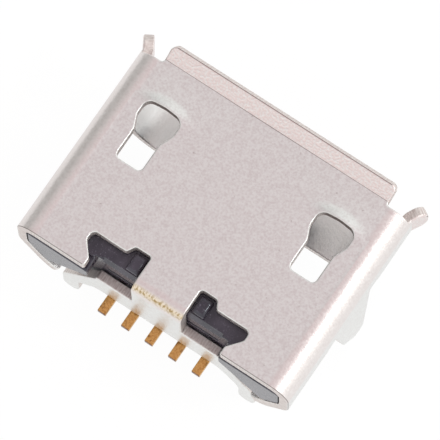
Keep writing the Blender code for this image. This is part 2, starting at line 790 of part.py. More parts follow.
def cut_rear_pocket(housing, material):
    """Room for the folded cover, a sloped back edge and the corner blocks' lowered tops."""
    back_y = COVER_FACE_Y - SHEET - COVER_GAP
    top_z = SHELL_TOP_Z - SHEET - HOUSING_GAP
    above = SHELL_TOP_Z + CUT_OVERLAP
    behind = HOUSING_CORNER_Y + CUT_OVERLAP
    half = [
        (POCKET_TOP_WIDTH / 2, above),
        (POCKET_TOP_WIDTH / 2, POCKET_SIDE_Z),
        (POCKET_LOW_X, POCKET_LOW_Z),
        (POCKET_LOW_X, SHELL_FLOOR_Z - CUT_OVERLAP),
    ]
    outline = half + mirrored(half)
    combine(housing, prism("pocket", outline, "y", back_y, behind, material), "DIFFERENCE")

    slope = BACK_CHAMFER_DEPTH / BACK_CHAMFER_HEIGHT
    wedge = [
        (back_y - BACK_CHAMFER_DEPTH - slope * CUT_OVERLAP, top_z + CUT_OVERLAP),
        (back_y + slope * CUT_OVERLAP, top_z - BACK_CHAMFER_HEIGHT - CUT_OVERLAP),
        (behind, top_z - BACK_CHAMFER_HEIGHT - CUT_OVERLAP),
        (behind, top_z + CUT_OVERLAP),
    ]
    reach = BACK_CHAMFER_WIDTH / 2
    combine(housing, prism("back_wedge", wedge, "x", -reach, reach, material), "DIFFERENCE")

    rebate = box(
        "corner_rebate",
        (-SHELL_WIDTH / 2, SHELL_WIDTH / 2),
        (HOUSING_CORNER_Y - CORNER_REBATE_DEPTH, behind),
        (CORNER_REBATE_Z, above),
        material,
    )
    combine(housing, rebate, "DIFFERENCE")

    groove = box(
        "back_groove",
        (-BACK_GROOVE_WIDTH / 2, BACK_GROOVE_WIDTH / 2),
        (back_y - BACK_GROOVE_DEPTH, behind),
        (BACK_GROOVE_LOW_Z, BACK_GROOVE_HIGH_Z),
        material,
    )
    combine(housing, groove, "DIFFERENCE")


def add_keys(housing, material):
    """Key blocks that stand up into the deep ends of the shell's notches."""
    top_z = SHELL_TOP_Z - SHEET - HOUSING_GAP
    for side in (-1, 1):
        middle = side * (KEY_OUTER_X - KEY_WIDTH / 2)
        half = KEY_WIDTH / 2
        outline = [
            (middle - half, top_z - CUT_OVERLAP),
            (middle + half, top_z - CUT_OVERLAP),
            (middle + half, KEY_TOP_Z - KEY_CHAMFER),
            (middle + half - KEY_CHAMFER, KEY_TOP_Z),
            (middle - half + KEY_CHAMFER, KEY_TOP_Z),
            (middle - half, KEY_TOP_Z - KEY_CHAMFER),
        ]
        key = prism("key", outline, "y", KEY_FRONT_Y, KEY_REAR_Y, material)
        combine(housing, key, "UNION")


def add_tongue(housing, material):
    """Tongue with a tapered front end and a thicker root."""
    high_z = TONGUE_LOW_Z + TONGUE_THICKNESS
    root_y = HOUSING_FRONT_Y - TONGUE_ROOT_LENGTH
    profile = [
        (TONGUE_FRONT_Y, TONGUE_LOW_Z + TONGUE_CHAMFER),
        (TONGUE_FRONT_Y + TONGUE_CHAMFER, TONGUE_LOW_Z),
        (root_y, TONGUE_LOW_Z),
        (root_y + TONGUE_ROOT_DROP, TONGUE_LOW_Z - TONGUE_ROOT_DROP),
        (HOUSING_FRONT_Y + CUT_OVERLAP, TONGUE_LOW_Z - TONGUE_ROOT_DROP),
        (HOUSING_FRONT_Y + CUT_OVERLAP, high_z),
        (TONGUE_FRONT_Y + TONGUE_CHAMFER, high_z),
        (TONGUE_FRONT_Y, high_z - TONGUE_CHAMFER),
    ]
    half = TONGUE_WIDTH / 2
    combine(housing, prism("tongue", profile, "x", -half, half, material), "UNION")


def cut_contact_ways(housing, material):
    """Open grooves on the tongue, and a closed way through the block for each contact."""
    slack = 2 * CONTACT_CLEARANCE
    for index in range(CONTACT_COUNT):
        centre = contact_x(index)
        half = CONTACT_BLADE_WIDTH / 2 + GROOVE_CLEARANCE
        floor_z = blade_mid_z() - CONTACT_THICKNESS / 2 - GROOVE_CLEARANCE
        groove = box(
            "groove",
            (centre - half, centre + half),
            (contact_front(index) - GROOVE_CLEARANCE, HOUSING_FRONT_Y + GROOVE_CLEARANCE),
            (floor_z, TONGUE_LOW_Z + TONGUE_THICKNESS + CUT_OVERLAP),
            material,
        )
        combine(housing, groove, "DIFFERENCE")
        way = strip(
            "way",
            contact_path(HOUSING_FRONT_Y - CUT_OVERLAP),
            centre,
            CONTACT_THICKNESS + slack,
            (CONTACT_BLADE_WIDTH + slack, CONTACT_TAIL_WIDTH + slack),
            material,
        )
        combine(housing, way, "DIFFERENCE")


def make_housing(material):
    outline = section_outline(shell_section(), -SHEET / 2 - HOUSING_GAP)
    housing = prism("housing", outline, "y", HOUSING_FRONT_Y, HOUSING_CORNER_Y, material)
    cut_rear_pocket(housing, material)
    add_keys(housing, material)
    add_tongue(housing, material)
    foot = box(
        "foot",
        (-FOOT_WIDTH / 2, FOOT_WIDTH / 2),
        (FOOT_FRONT_Y, COVER_FACE_Y - SHEET - COVER_GAP - FOOT_REAR_SETBACK),
        (FOOT_LOW_Z, SHELL_FLOOR_Z + SHEET + CUT_OVERLAP + HOUSING_GAP),
        material,
    )
    combine(housing, foot, "UNION")
    cut_contact_ways(housing, material)
    return housing


def main():
    clear_scene()
    steel = make_material("plated_steel")
    plastic = make_material("black_plastic")
    gold = make_material("gold_plate")
    pieces = [make_shell(steel), make_housing(plastic), *make_contacts(gold)]
    for piece in pieces:
        finish(piece)


main()
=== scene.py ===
# Micro USB socket for a circuit board, seen from above and behind.
# Three kinds of piece: the folded shell, the moulded housing and five bent contacts.
# Sizes are in millimetres while a piece is drawn; each mesh is scaled to metres at its end.
import math

import bmesh
import bpy
from mathutils import Matrix, Vector
from mathutils.geometry import delaunay_2d_cdt


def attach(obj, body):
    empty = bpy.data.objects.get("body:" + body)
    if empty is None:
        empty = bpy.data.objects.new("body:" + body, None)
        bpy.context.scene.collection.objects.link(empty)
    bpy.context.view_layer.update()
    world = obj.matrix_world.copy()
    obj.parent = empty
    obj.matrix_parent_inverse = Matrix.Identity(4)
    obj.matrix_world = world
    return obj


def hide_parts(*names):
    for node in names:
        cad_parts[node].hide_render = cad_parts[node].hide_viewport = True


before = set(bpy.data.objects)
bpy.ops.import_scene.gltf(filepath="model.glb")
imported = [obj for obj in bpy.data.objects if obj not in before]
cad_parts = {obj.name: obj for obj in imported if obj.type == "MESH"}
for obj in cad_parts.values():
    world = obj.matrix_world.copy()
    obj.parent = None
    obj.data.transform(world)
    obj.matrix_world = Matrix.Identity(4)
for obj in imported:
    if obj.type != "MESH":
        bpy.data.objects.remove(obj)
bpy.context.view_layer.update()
scene = bpy.context.scene
scene.view_settings.view_transform = "Standard"
metresPerMm = 0.001
tiny = 1e-5      # millimetres; smaller differences are rounding errors
weld = 1e-4      # millimetres; points that are closer are one
noiseLow, noiseHigh = 0.3, 0.7      # most values of a noise texture lie between these

# The drawings count y from the shell's plain front edge, the frame from the middle tail's seat.
seatY = 4.87


def linearColour(code):
    channels = [int(code[k:k + 2], 16) / 255 for k in (1, 3, 5)]
    linear = [c / 12.92 if c <= 0.04045 else ((c + 0.055) / 1.055) ** 2.4 for c in channels]
    return (*linear, 1.0)


def addNode(tree, kind, settings=None, **links):
    # links name an input, or its number as i0, and give it a socket to read or a value
    node = tree.nodes.new(kind)
    for name, value in (settings or {}).items():
        setattr(node, name, value)
    for name, value in links.items():
        place = int(name[1:]) if name[1:].isdigit() else name.replace("_", " ")
        if isinstance(value, bpy.types.NodeSocket):
            tree.links.new(value, node.inputs[place])
        else:
            node.inputs[place].default_value = value
    return node


def startMaterial(name, principled):
    material = bpy.data.materials.new(name)
    material.use_nodes = True
    shader = material.node_tree.nodes["Principled BSDF"]
    for socket, value in principled.items():
        shader.inputs[socket].default_value = value
    return material, material.node_tree, shader


def addLayers(tree, look, vectors):
    # noise layers and, where a layer has limits, the share of the surface between them
    heights, shares = {}, {}
    for name, (vector, size, detail, *limits) in look["layers"].items():
        scaled = addNode(tree, "ShaderNodeVectorMath", {"operation": "DIVIDE"}, i0=vectors[vector], i1=size)
        noise = addNode(tree, "ShaderNodeTexNoise", Vector=scaled.outputs[0], Scale=1.0, Detail=detail)
        heights[name] = noise.outputs["Fac"]
        if limits:
            step = addNode(tree, "ShaderNodeMapRange", Value=heights[name], From_Min=limits[0],
                           From_Max=limits[1])
            shares[name] = step.outputs[0]
    return heights, shares


def addTones(tree, look, first, steps):
    # lays one colour after another over the first, each by the product of two shares
    tone = linearColour(look[first])
    for share, other, colour in steps:
        both = addNode(tree, "ShaderNodeMath", {"operation": "MULTIPLY"}, i0=share, i1=other)
        mixed = addNode(tree, "ShaderNodeMix", {"data_type": "RGBA"}, i0=both.outputs[0], i6=tone,
                        i7=linearColour(look[colour]))
        tone = mixed.outputs[2]
    return tone


def addRelief(tree, look, steps):
    # sums products of two heights and turns them into a bumped normal
    height = 0.0
    for first, second in steps:
        height = addNode(tree, "ShaderNodeMath", {"operation": "MULTIPLY_ADD"}, i0=first, i1=second,
                         i2=height).outputs[0]
    return addNode(tree, "ShaderNodeBump", Strength=look["bump"], Distance=look["depth"] * metresPerMm,
                   Height=height).outputs[0]


def spread(tree, look, source):
    half = look["roughSpread"]
    return addNode(tree, "ShaderNodeMapRange", Value=source, From_Min=noiseLow, From_Max=noiseHigh,
                   To_Min=look["roughness"] - half, To_Max=look["roughness"] + half).outputs[0]


# Nickel plate on rolled strip: satin and neutral, with a sandy grain from the strip under it,
# crackled where the sheet was bent, brownish with shear marks where it was cut.
# Painted light on it as well: a lighter inner face, a pink sheen on bends and lips, a gold reflection
# of the contacts on the neck's bend, and dark shade lines at the lips' fold, the holes' fronts and edges.
nickelLook = {
    # the near-white last tone here is painted light: the sheet's inner face made lighter for the dim
    # interior
    "shade": "#DDDBD9", "colour": "#EAEBE9", "pit": "#B9B2AE", "paintedInsideLight": "#F6F5F4",
    # the pink tone is a painted sheen over the crackled plate of bends and lips; the dark brown tone is
    # painted shade
    "strainSheenTone": "#E8DAD7", "crackled": "#EAE5E3", "shadeLines": "#6F605B",
    # the two gold tones next are a painted reflection of the gold contacts on the neck's bend
    "gold": "#E6D6BC", "goldDark": "#AC9265", "cutLight": "#E3DDD9", "cutDark": "#CEC3BF",
    "pitCover": 0.6, "insideLightCover": 0.8, "cutCover": 0.9,
    "roughness": 0.38, "roughSpread": 0.06, "cutRougher": 0.20, "bump": 0.35, "depth": 0.01,
    "grainRise": 0.7, "rollingRise": 0.3, "crackleRise": 3.5, "shearRise": 0.3,
    "layers": {
        "grain": ("sheet", (0.05, 0.05, 0.05), 3.0, 0.32, 0.62),    # the real 0.01 mm, drawn coarser
        "pits": ("sheet", (0.12, 0.12, 0.12), 1.0, 0.27, 0.18),
        "rolling": ("sheet", (0.05, 0.8, 0.05), 2.0),
        "crackle": ("sheet", (0.06, 0.05, 0.06), 3.0, 0.46, 0.58),
        "shear": ("edge", (0.035, 0.30, 0.035), 2.0, 0.42, 0.62),
    },
}


def nickelPlate(look):
    material, tree, shader = startMaterial("satin_nickel_plate", {"Metallic": 1.0})
    vectors = {}
    for name in ("sheet", "edge"):
        place = addNode(tree, "ShaderNodeAttribute", {"attribute_name": name + "Place"})
        vectors[name] = place.outputs["Vector"]
    cut = addNode(tree, "ShaderNodeAttribute", {"attribute_name": "cutShare"}).outputs["Fac"]
    # the sheet's inner face, painted lighter: painted light standing in for light in the shell's interior
    paintedInsideLight = addNode(tree, "ShaderNodeAttribute", {"attribute_name": "insideLightShare"}).outputs["Fac"]
    lightAndStrain = addNode(tree, "ShaderNodeAttribute", {"attribute_name": "paintedLightAndStrain"}).outputs["Vector"]
    # per point: a painted gold reflection, a share for the crackled plate and its painted pink sheen, and
    # painted shade lines
    gold, strainAndSheen, shadeLines = addNode(tree, "ShaderNodeSeparateXYZ", i0=lightAndStrain).outputs
    heights, shares = addLayers(tree, look, vectors)
    tone = addTones(tree, look, "shade", [
        (shares["grain"], 1.0, "colour"), (shares["pits"], look["pitCover"], "pit"),
        (paintedInsideLight, look["insideLightCover"], "paintedInsideLight"),
        # a painted pink sheen over bends and lips, with the crackled plate mottled on it
        (strainAndSheen, 1.0, "strainSheenTone"), (strainAndSheen, shares["crackle"], "crackled"),
        # a painted gold reflection of the contacts on the neck's bend
        (gold, 1.0, "gold"), (gold, shares["crackle"], "goldDark"),
        (cut, look["cutCover"], "cutLight"), (cut, shares["shear"], "cutDark"),
        # painted shade lines: the lips' fold, the latch holes' fronts, the start of edge roundings
        (shadeLines, 1.0, "shadeLines"),
    ])
    tree.links.new(tone, shader.inputs["Base Color"])
    rough = addNode(tree, "ShaderNodeMath", {"operation": "MULTIPLY_ADD"}, i0=cut, i1=look["cutRougher"],
                    i2=spread(tree, look, heights["grain"]))
    tree.links.new(rough.outputs[0], shader.inputs["Roughness"])
    crackled = addNode(tree, "ShaderNodeMath", {"operation": "MULTIPLY"}, i0=strainAndSheen, i1=look["crackleRise"])
    sheared = addNode(tree, "ShaderNodeMath", {"operation": "MULTIPLY"}, i0=cut, i1=look["shearRise"])
    normal = addRelief(tree, look, [
        (heights["grain"], look["grainRise"]), (heights["rolling"], look["rollingRise"]),
        (sheared.outputs[0], heights["shear"]), (crackled.outputs[0], heights["crackle"]),
    ])
    tree.links.new(normal, shader.inputs["Normal"])
    return material


# Liquid crystal polymer, moulded black: bluish, slightly glossy, with a fine flow grain and pale specks.
housingLook = {
    "shade": "#322C36", "colour": "#47404B", "speck": "#716C78",
    "speckCover": 0.6, "glint": "#E2ECF2", "ior": 1.6,
    "roughness": 0.17, "roughSpread": 0.06, "bump": 0.4, "depth": 0.01,
    "layers": {
        "flow": ("object", (0.5, 0.5, 0.5), 2.0, 0.35, 0.70),
        "grain": ("object", (0.05, 0.05, 0.05), 3.0, 0.60, 0.72),
    },
}


def blackPolymer(look):
    material, tree, shader = startMaterial("black_lcp_moulded", {
        "IOR": look["ior"], "Specular Tint": linearColour(look["glint"])})
    heights, shares = addLayers(tree, look, {"object": objectPlace(tree)})
    tone = addTones(tree, look, "shade", [
        (shares["flow"], 1.0, "colour"), (shares["grain"], look["speckCover"], "speck"),
    ])
    tree.links.new(tone, shader.inputs["Base Color"])
    tree.links.new(spread(tree, look, heights["grain"]), shader.inputs["Roughness"])
    tree.links.new(addRelief(tree, look, [(heights["grain"], 1.0)]), shader.inputs["Normal"])
    return material


def objectPlace(tree):
    # object coordinates in millimetres
    place = addNode(tree, "ShaderNodeTexCoord").outputs["Object"]
    return addNode(tree, "ShaderNodeVectorMath", {"operation": "SCALE"}, i0=place,
                   Scale=1 / metresPerMm).outputs[0]


# Thin gold on a copper alloy strip: warm brownish gold, bare copper where the strip was cut off.
goldLook = {
    "shade": "#BE8D50", "colour": "#DDAE6C", "worn": "#8A6034", "cut": "#7A4F33",
    "wornCover": 0.8, "grainRise": 0.5, "lineRise": 0.5,
    "roughness": 0.30, "roughSpread": 0.07, "bump": 0.35, "depth": 0.01,
    "layers": {
        "grain": ("object", (0.05, 0.05, 0.05), 3.0, 0.32, 0.62),
        "worn": ("object", (0.10, 0.16, 0.10), 2.0, 0.58, 0.70),
        "lines": ("object", (0.03, 1.1, 1.1), 2.0),
    },
}


def goldFlash(look):
    material, tree, shader = startMaterial("gold_flashed_copper", {"Metallic": 1.0})
    heights, shares = addLayers(tree, look, {"object": objectPlace(tree)})
    cut = addNode(tree, "ShaderNodeAttribute", {"attribute_name": "cutShare"}).outputs["Fac"]
    tone = addTones(tree, look, "shade", [
        (shares["grain"], 1.0, "colour"), (shares["worn"], look["wornCover"], "worn"), (cut, 1.0, "cut"),
    ])
    tree.links.new(tone, shader.inputs["Base Color"])
    tree.links.new(spread(tree, look, heights["grain"]), shader.inputs["Roughness"])
    normal = addRelief(tree, look, [
        (heights["grain"], look["grainRise"]), (heights["lines"], look["lineRise"]),
    ])
    tree.links.new(normal, shader.inputs["Normal"])
    return material


nickel = nickelPlate(nickelLook)
polymer = blackPolymer(housingLook)
gold = goldFlash(goldLook)
print("materials ready")


leastTurn = math.radians(2)      # corners that turn less stay sharp
mostSetback = 0.49      # share of the shorter side that a rounding may take
mitreLimit = 0.3      # least divisor of a mitre, so that sharp corners stay short


def filletPoints(corner, before, after, radius, facet):
    toBefore = Vector(before) - Vector(corner)
    toAfter = Vector(after) - Vector(corner)
    opening = toBefore.angle(toAfter)
    turn = math.pi - opening
    if radius <= 0.0 or turn < leastTurn:
        return [tuple(corner)]
    setback = min(radius * math.tan(turn / 2), mostSetback * min(toBefore.length, toAfter.length))
    radius = setback / math.tan(turn / 2)
    start = Vector(corner) + toBefore.normalized() * setback
    bisector = (toBefore.normalized() + toAfter.normalized()).normalized()
    centre = Vector(corner) + bisector * radius / math.cos(turn / 2)
    side = -1.0 if toBefore.cross(toAfter) > 0 else 1.0
    first = math.atan2(start.y - centre.y, start.x - centre.x)
    steps = max(2, math.ceil(turn / facet))
    angles = [first + side * turn * k / steps for k in range(steps + 1)]
    return [(centre.x + radius * math.cos(a), centre.y + radius * math.sin(a)) for a in angles]


def roundedOutline(corners, facet):
    outline = []
    for index, (x, y, radius) in enumerate(corners):
        before = corners[index - 1][:2]
        after = corners[(index + 1) % len(corners)][:2]
        outline += filletPoints((x, y), before, after, radius, facet)
    return outline


def mirrorCorners(corners):
    return [(-corner[0], *corner[1:]) for corner in reversed(corners)]


def isInside(point, outline):
    x, y = point
    hit = False
    for (ax, ay), (bx, by) in zip(outline, outline[1:] + outline[:1]):
        if (ay > y) != (by > y) and x < ax + (y - ay) / (by - ay) * (bx - ax):
            hit = not hit
    return hit


def loopNormals(points):
    # mitred normals to the right of a closed loop
    normals = []
    for k, point in enumerate(points):
        arriving = (Vector(point) - Vector(points[k - 1])).normalized()
        leaving = (Vector(points[(k + 1) % len(points)]) - Vector(point)).normalized()
        first = Vector((arriving.y, -arriving.x))
        second = Vector((leaving.y, -leaving.x))
        normals.append((first + second) / max(mitreLimit, 1 + first.dot(second)))
    return normals


def moveLoop(points, distance):
    return [tuple(Vector(p) + n * distance) for p, n in zip(points, loopNormals(points))]


def loopArea(points):
    return sum(a[0] * b[1] - b[0] * a[1] for a, b in zip(points, points[1:] + points[:1])) / 2


def moveChain(corners, distance):
    # moves an open chain of straights to its right
    lines = []
    for start, end in zip(corners, corners[1:]):
        heading = (Vector(end) - Vector(start)).normalized()
        lines.append((Vector(start) + Vector((heading.y, -heading.x)) * distance, heading))
    moved = [lines[0][0]]
    for (start, heading), (other, turned) in zip(lines, lines[1:]):
        along = (other - start).cross(turned) / heading.cross(turned)
        moved.append(start + heading * along)
    moved.append(lines[-1][0] + lines[-1][1] * math.dist(corners[-1], corners[-2]))
    return moved


def bentPath(corners, radii):
    # straights and arcs, each as (station, length, start, heading, curvature)
    pieces = []
    station = 0.0
    position = Vector(corners[0])
    for index in range(1, len(corners)):
        before, corner = Vector(corners[index - 1]), Vector(corners[index])
        angle = math.atan2(corner.y - before.y, corner.x - before.x)
        turn, radius = 0.0, 0.0
        if index < len(corners) - 1:
            after = Vector(corners[index + 1])
            turn = math.remainder(math.atan2(after.y - corner.y, after.x - corner.x) - angle, math.tau)
            radius = radii[index - 1]
        setback = radius * math.tan(abs(turn) / 2)
        straight = (corner - position).length - setback
        pieces.append((station, straight, position, angle, 0.0))
        station += straight
        position = corner - Vector((math.cos(angle), math.sin(angle))) * setback
        if radius > 0.0:
            pieces.append((station, radius * abs(turn), position, angle, math.copysign(1 / radius, turn)))
            station += radius * abs(turn)
            position, _ = pathAt(pieces, station)
    return pieces


def pathAt(pieces, distance):
    chosen = pieces[0]
    for piece in pieces:
        if distance >= piece[0] - tiny:
            chosen = piece
    begin, _, start, heading, curvature = chosen
    step = distance - begin
    if curvature == 0.0:
        return start + Vector((math.cos(heading), math.sin(heading))) * step, heading
    turned = heading + curvature * step
    x = start.x + (math.sin(turned) - math.sin(heading)) / curvature
    y = start.y - (math.cos(turned) - math.cos(heading)) / curvature
    return Vector((x, y)), turned


def pathBends(pieces, facet):
    stations = []
    for begin, length, _, _, curvature in pieces:
        if curvature != 0.0:
            steps = max(2, math.ceil(abs(curvature) * length / facet))
            stations += [begin + length * k / steps for k in range(steps + 1)]
    return stations


def finishMesh(name, points, faces, material, attributes=None):
    mesh = bpy.data.meshes.new(name)
    placed = [(x * metresPerMm, (y - seatY) * metresPerMm, z * metresPerMm) for x, y, z in points]
    mesh.from_pydata(placed, [], faces)
    mesh.materials.append(material)
    for label, values in (attributes or {}).items():
        if isinstance(values[0], float):
            layer = mesh.attributes.new(label, "FLOAT", "POINT")
            layer.data.foreach_set("value", values)
        else:
            layer = mesh.attributes.new(label, "FLOAT_VECTOR", "POINT")
            layer.data.foreach_set("vector", [c for value in values for c in value])
    mesh.validate()
    mesh.shade_smooth()
    mesh.update()
    item = bpy.data.objects.new(name, mesh)
    scene.collection.objects.link(item)
    return item


# The shell: one blank, sheared, lanced and folded.
shellSizes = {
    "sheet": 0.25, "width": 7.40, "topZ": 2.45, "floorZ": 0.10, "kneeZ": 1.22, "floorWidth": 5.80,
    "topRadius": 0.50, "kneeRadius": 0.60, "floorRadius": 1.00,
    "length": 4.99, "floorLength": 3.52, "floorSetback": 0.30, "corner": 0.06,
    "seamGap": 0.03, "dovetailY": 1.67, "dovetailDepth": 0.55, "dovetailNeck": 0.50, "dovetailHead": 0.90,
    "lipRoot": 0.08, "lipRootRadius": 0.07, "lipBend": 0.16, "lipMargin": 0.05, "lipCorner": 0.16,
    "topLipWidth": 6.10, "topLipLength": 0.54, "topLipAngle": 28.0,
    "sideLipLength": 0.58, "sideLipAngle": 30.0, "sideLipOverrun": 0.12, "sideLipCorner": 0.36,
    "floorLipWidth": 4.30, "floorLipLength": 0.50, "floorLipAngle": 30.0,
    "latchSpacing": 4.73, "latchSlotWidth": 0.69, "latchSlotEndY": 2.45, "latchCorner": 0.12,
    "latchHeadWidth": 0.98, "latchHeadY": 1.17, "latchFrontY": 0.90, "latchFrontBow": 0.03,
    "latchHeadRadius": 0.28, "latchLowY": 1.68, "latchHighY": 1.34, "latchShoulderRadius": 0.25,
    "rimRise": 0.12, "rimReach": 0.30, "rimRings": (0.3, 0.45, 0.6, 0.8, 1.0),
    "legTipZ": -1.05, "legRootFrontY": 1.60, "legRootRearY": 3.02, "legTaperZ": -0.35,
    "legTaperRearY": 2.65, "legTipFrontY": 1.82, "legTipRearY": 2.18, "legCorner": 0.12,
    "legRootRadius": 0.06, "legTaperRadius": 0.40, "legTipRadius": 0.10, "legMargin": 0.10,
    "windowFrontY": 1.32, "windowRearY": 3.32, "windowTipGap": 0.15,
    "neckWidth": 1.36, "neckBend": 0.16, "coverFaceY": 4.837, "wingWidth": 3.36, "wingTopZ": 1.28,
    "coverSideTopZ": 1.13, "coverSideLowZ": -0.28, "archWidth": 3.36, "archTopZ": 0.36,
    "archFootZ": -0.25, "tabSpacing": 5.32, "tabWidth": 0.44, "tabCorner": 0.20,
    "archRadius": 0.45, "coverSideRadius": 0.30, "wingRadius": 0.06,
    "neckMargin": 0.05, "neckOverrun": 0.10,
    "notchDeepY": 3.96, "notchDeepX": 1.10, "notchShoulderX": 1.22, "notchShallowY": 4.17,
    "notchOuterX": 2.13, "notchBackY": 4.42, "tongueEndX": 1.84, "tongueCornerY": 4.77,
    "notchNeckRadius": 0.08, "notchRadius": 0.10, "notchOuterRadius": 0.14,
    "wallEndRadius": 0.10, "floorRearRadius": 0.25,
    "foldFromY": -1.0, "foldPast": 0.5,      # fold lines run past the sheet at both ends
    # painted light and crackling: a painted gold reflection on the neck's bend, crackled plate under a
    # painted pink sheen on bends, painted shade lines at the lips' fold, the latch holes' fronts and edges
    "goldMiddle": 0.50, "goldHalf": 0.30, "strainFade": 0.10, "bendStrainAndSheen": 0.45, "cornerPast": 0.10,
    "bendMargin": 0.01, "creaseHalf": 0.004,
    "frontShadeSkin": 0.02, "frontShadeWide": 1.2, "frontShadeDeep": 1.5, "frontShadeGain": 3.0, "frontShadeFrom": 1.5,
    "lineDeepest": 0.01, "lineHighest": 0.001, "lineWide": 0.022, "edgeLine": 0.9,
}
edgeSizes = {
    "hold": 0.012,       # flat margin that keeps the shading of the flat faces clean
    "dieRoll": 0.035,    # rounding where the punch went in
    "burr": 0.018,       # smaller rounding where it came out
    "spacing": 0.12,     # longest step along a cut edge
    "facet": 9.0,        # degrees between the lines of a bend or a corner
}


def sectionPath(s):
    outer = [(0.0, s["topZ"]), (s["width"] / 2, s["topZ"]), (s["width"] / 2, s["kneeZ"]),
             (s["floorWidth"] / 2, s["floorZ"]), (0.0, s["floorZ"])]
    radii = [s[name] - s["sheet"] / 2 for name in ("topRadius", "kneeRadius", "floorRadius")]
    return bentPath(moveChain(outer, s["sheet"] / 2), radii)


def blankPlan(s):
    # stations of the flat blank: u along the section, v from the mouth to the rear
    path = sectionPath(s)
    _, _, side, knee, _, _, floor = path
    kneePoint, _ = pathAt(path, knee[0])
    end = floor[0] + floor[1]
    neckBendV = s["coverFaceY"] - s["sheet"] / 2 - s["neckBend"]
    neckBendEnd = neckBendV + s["neckBend"] * math.pi / 2
    topMidZ = s["topZ"] - s["sheet"] / 2
    plan = {
        "path": path, "sideStart": side[0], "kneeStart": knee[0], "kneeX": kneePoint.x,
        "kneeZ": kneePoint.y, "floorStart": floor[0], "end": end, "seam": end - s["seamGap"] / 2,
        "neckBendV": neckBendV, "neckBendEnd": neckBendEnd, "topMidZ": topMidZ,
        "legEnd": knee[0] + kneePoint.y - s["legTipZ"],
    }
    plan["flapStart"] = (s["length"] + flapV(s, plan, s["wingTopZ"])) / 2
    slack = s["sideLipOverrun"]
    plan["lips"] = [
        (0.0, s["topLipWidth"] / 2, s["topLipLength"], math.radians(s["topLipAngle"])),
        (side[0] - slack, knee[0] + slack, s["sideLipLength"], math.radians(s["sideLipAngle"])),
        (end - s["floorLipWidth"] / 2, plan["seam"], s["floorLipLength"], math.radians(s["floorLipAngle"])),
    ]
    return plan


def flapV(s, plan, z):
    return plan["neckBendEnd"] + plan["topMidZ"] - s["neckBend"] - z


def coverCorners(s, plan):
    outer = s["tabSpacing"] / 2
    inner = outer - s["tabWidth"]
    wing = s["wingWidth"] / 2
    neck = s["neckWidth"] / 2
    spots = [
        (s["archWidth"] / 2, s["archTopZ"], s["archRadius"]), (inner, s["archFootZ"], s["archRadius"]),
        (inner, s["legTipZ"], s["tabCorner"]), (outer, s["legTipZ"], s["tabCorner"]),
        (outer, s["coverSideLowZ"], s["coverSideRadius"]), (wing, s["coverSideTopZ"], s["wingRadius"]),
        (wing, s["wingTopZ"], s["wingRadius"]), (neck, s["wingTopZ"], s["wingRadius"]),
    ]
    return [(x, flapV(s, plan, z), radius) for x, z, radius in spots]


def notchCorners(s):
    neck, radius = s["neckWidth"] / 2, s["notchRadius"]
    return [
        (neck, s["notchDeepY"], s["notchNeckRadius"]), (s["notchDeepX"], s["notchDeepY"], radius),
        (s["notchShoulderX"], s["notchShallowY"], radius),
        (s["notchOuterX"], s["notchShallowY"], s["notchOuterRadius"]),
        (s["notchOuterX"], s["notchBackY"], radius), (s["tongueEndX"], s["tongueCornerY"], radius),
        (s["tongueEndX"], s["length"], s["corner"]),
    ]


def floorCorners(s, plan, tab):
    wallEnd = plan["floorStart"] - s["floorSetback"]
    reach = s["dovetailDepth"] if tab else -s["dovetailDepth"]
    slack = -s["seamGap"] if tab else s["seamGap"]
    neck = (s["dovetailNeck"] + slack) / 2
    head = (s["dovetailHead"] + slack) / 2
    seam, middle, corner = plan["seam"], s["dovetailY"], s["corner"]
    return [
        (wallEnd, s["length"], s["wallEndRadius"]), (wallEnd, s["floorLength"], s["floorRearRadius"]),
        (seam, s["floorLength"], corner), (seam, middle + neck, 0.0),
        (seam + reach, middle + head, corner), (seam + reach, middle - head, corner),
        (seam, middle - neck, 0.0),
    ]


def mouthCorners(s, plan):
    top, side, floor = plan["lips"]
    corner, root = s["corner"], s["lipRootRadius"]
    return [
        (plan["seam"], -floor[2], corner), (floor[0], -floor[2], s["lipCorner"]), (floor[0], 0.0, root),
        (side[1], 0.0, root), (side[1], -side[2], s["sideLipCorner"]),
        (side[0], -side[2], s["sideLipCorner"]), (side[0], 0.0, root),
        (top[1], 0.0, root), (top[1], -top[2], s["lipCorner"]),
    ]


def latchHole(s, facet):
    slot, head = s["latchSlotWidth"] / 2, s["latchHeadWidth"] / 2
    half = [
        (slot, s["latchSlotEndY"], s["latchCorner"]), (slot, s["latchLowY"], s["latchShoulderRadius"]),
        (head, s["latchHighY"], s["latchShoulderRadius"]),
        (head, s["latchFrontY"] + s["latchFrontBow"], s["latchHeadRadius"]),
        (0.0, s["latchFrontY"], s["latchHeadWidth"]),
    ]
    corners = [(s["latchSpacing"] / 2 + x, y, radius) for x, y, radius in half + mirrorCorners(half[:-1])]
    return roundedOutline(corners, facet)


def legWindow(s, plan, facet):
    knee, tip, corner = plan["kneeStart"], plan["legEnd"], s["legCorner"]
    far = tip + s["windowTipGap"]
    taper = knee + plan["kneeZ"] - s["legTaperZ"]
    return roundedOutline([
        (knee, s["windowFrontY"], corner), (far, s["windowFrontY"], corner),
        (far, s["windowRearY"], corner), (knee, s["windowRearY"], corner),
        (knee, s["legRootRearY"], s["legRootRadius"]), (taper, s["legTaperRearY"], s["legTaperRadius"]),
        (tip, s["legTipRearY"], s["legTipRadius"]), (tip, s["legTipFrontY"], corner),
        (knee, s["legRootFrontY"], s["legRootRadius"]),
    ], facet)


